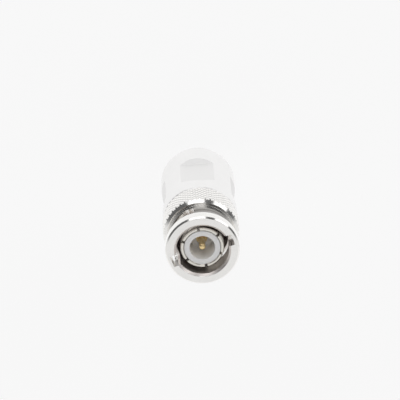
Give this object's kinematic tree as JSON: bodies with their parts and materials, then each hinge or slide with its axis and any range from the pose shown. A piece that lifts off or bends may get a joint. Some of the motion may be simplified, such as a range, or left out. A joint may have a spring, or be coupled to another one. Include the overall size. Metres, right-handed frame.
{
  "type": "bnc connector",
  "caption": "Straight coaxial bayonet cable plug with a knurled coupling nut, slotted spring contact, gold centre pin and a clamp nut at the cable end.",
  "frame": {"origin": "centre of the clamp nut's rear face, on the plug's axis", "axes": "+Z along the plug's axis and out of the mating face; -Y is the side that faces up in the picture"},
  "size_m": [0.015, 0.015, 0.0348],
  "materials": {
    "polished_nickel": "bright nickel plating on turned brass",
    "satin_nickel": "satin nickel plating on turned brass",
    "contact_plating": "smooth white plating on spring bronze",
    "white_ptfe": "smooth waxy white",
    "gold_plating": "bright gold plating",
    "gasket_rubber": "matte black rubber",
    "spring_metal": "thin rolled spring metal",
    "inner_brass": "plain nickel plating"
  },
  "bodies": {
    "plug": {"plug_body": "satin_nickel", "outer_contact": "contact_plating", "front_insulator": "white_ptfe", "centre_pin": "gold_plating", "mating_gasket": "gasket_rubber", "front_thrust_washer": "spring_metal", "wave_washer": "spring_metal", "rear_insulator": "white_ptfe", "braid_clamp": "inner_brass", "clamp_gasket": "gasket_rubber", "slip_washer": "inner_brass", "clamp_nut": "satin_nickel"},
    "thrust_washer": {"rear_thrust_washer": "spring_metal"},
    "coupling_nut": {"coupling_nut": "polished_nickel"}
  },
  "joints": [
    {"name": "nut_float", "type": "slide", "parent": "plug", "child": "thrust_washer", "axis": [0, 0, 1], "range_m": [0, 0.0006], "stiffness_N_per_m": 15000, "springref_m": -0.0004, "deforming": ["wave_washer"]},
    {"name": "nut_turn", "type": "hinge", "parent": "thrust_washer", "child": "coupling_nut", "pos_m": [0, 0, 0.028], "axis": [0, 0, 1], "continuous": true}
  ]
}
